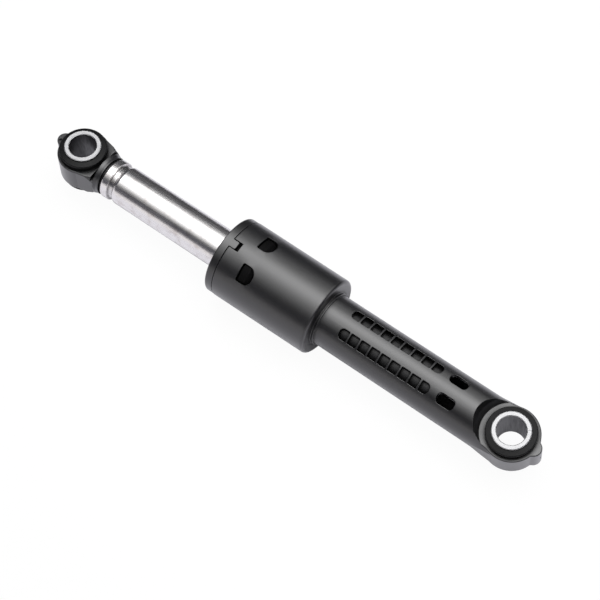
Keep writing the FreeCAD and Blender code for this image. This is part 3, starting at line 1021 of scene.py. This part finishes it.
@dataclass
class Floor:
    """White floor that keeps a faint share of the damper's shadow.

    Mirrored in the damper it is a little cool, with a painted shadow where the damper nearly shuts
    it in.

    Attributes:
        size: Length of its sides.
        colour: Its colour where light falls on it.
        shadow_share: Share of that light which the camera sees, with the shadow in it.
        mirrored: Its colour in reflections.
        contact: How near the damper shuts it in.
        contact_range: Shares of open sky between which its reflection goes from dark to full.
        contact_dark: Share of the reflection that stays in the dark.
    """

    size: float = 6.0
    colour: str = "f6f6f6"
    shadow_share: float = 0.05
    mirrored: str = "f9f8ff"
    contact: float = 0.03
    contact_range: Range = (0.42, 0.7)
    contact_dark: float = 0.03

    def build(self, height: float) -> bpy.types.Object:
        """Makes the floor.

        Args:
            height: Height of the surface that the damper lies on.

        Returns:
            The floor's object.
        """
        floor = flat_panel("floor", (self.size, self.size), Matrix.Translation((0, 0, height)))
        graph = NodeGraph(bpy.data.materials.new("floor_white"))
        path = graph.add("LightPath").outputs
        seen = graph.calculate("MULTIPLY", path["Is Camera Ray"], 1 - self.shadow_share)
        passed_on = graph.calculate("MAXIMUM", path["Is Glossy Ray"], path["Is Transmission Ray"])
        share = graph.calculate("MAXIMUM", seen, passed_on)
        white = graph.mix(path["Is Glossy Ray"], linear(WHITE), self._reflection(graph))
        matt = graph.add("BsdfDiffuse", {"Color": linear(self.colour)})
        glow = graph.add("Emission", {"Color": white, "Strength": 1.0})
        both = graph.add("MixShader", {0: share, 1: matt.outputs[0], 2: glow.outputs[0]})
        graph.add("OutputMaterial", {"Surface": both.outputs[0]})
        floor.data.materials.append(graph.owner)
        return floor

    def _reflection(self, graph: NodeGraph) -> Socket:
        """Builds the floor's colour as the damper mirrors it, with its painted shadow.

        Args:
            graph: The floor's tree.

        Returns:
            That colour.
        """
        open_share = graph.openness(self.contact, FLOOR_SAMPLES)
        light = graph.spread(open_share, self.contact_range, (self.contact_dark, 1.0))
        return graph.darken(linear(self.mirrored), light)


@dataclass
class Studio:
    """Floor, softbox overhead, pale wall on one side and a low black flag on the other."""

    surroundings: str = "4d4d55"
    wall_y: float = 0.6
    wall_size: Range = (2.4, 0.2)
    wall_colour: str = "fdfafb"
    wall_strength: float = 1.05
    flag_x: float = 0.14
    flag_y: float = -0.062
    flag_size: Range = (0.36, 0.042)
    flag_colour: str = "4a4a4d"
    flag_turn_deg: float = 14.0

    def build(self, floor_z: float, middle_x: float) -> None:
        """Makes the floor, the lights, the cards and the world.

        Args:
            floor_z: Height of the surface that the damper lies on.
            middle_x: Middle of the damper along its length.
        """
        Floor().build(floor_z)
        Softbox().build()
        wall = (middle_x, self.wall_y, floor_z + self.wall_size[1] / 2)
        flag = (self.flag_x, self.flag_y, floor_z + self.flag_size[1] / 2)
        Card("pale_wall", wall, self.wall_size, self.wall_colour, self.wall_strength).build()
        Card(
            "black_flag", flag, self.flag_size, self.flag_colour, turn_deg=self.flag_turn_deg,
        ).build()
        self._world()

    def _world(self) -> None:
        """Makes dim grey surroundings, white where the camera sees them."""
        world = bpy.data.worlds.new("studio")
        graph = NodeGraph(world)
        path = graph.add("LightPath").outputs
        colour = graph.mix(path["Is Camera Ray"], linear(self.surroundings), linear(WHITE))
        back = graph.add("Background", {"Color": colour})
        graph.add("OutputWorld", {"Surface": back.outputs[0]})
        bpy.context.scene.world = world


def main() -> None:
    """Builds the pieces in order and reports each through the log."""
    logging.basicConfig(level=logging.INFO, format="%(name)s: %(message)s")
    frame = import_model()
    cad_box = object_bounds()
    bpy.context.scene.view_settings.view_transform = "Standard"
    made: dict[str, bpy.types.Material] = {}
    for assembly in (HousingAssembly(), FrictionUnit(), RodAssembly()):
        for name in assembly.dress(frame["nodes"], made):
            LOG.info("%s: dressed %s", assembly.name, name)
    low, high = cad_box
    Studio().build(low[2], (low[0] + high[0]) / 2)
    camera = PhotoCamera().build()
    LOG.info("placed %s", camera.name)


if __name__ == "__main__":
    main()
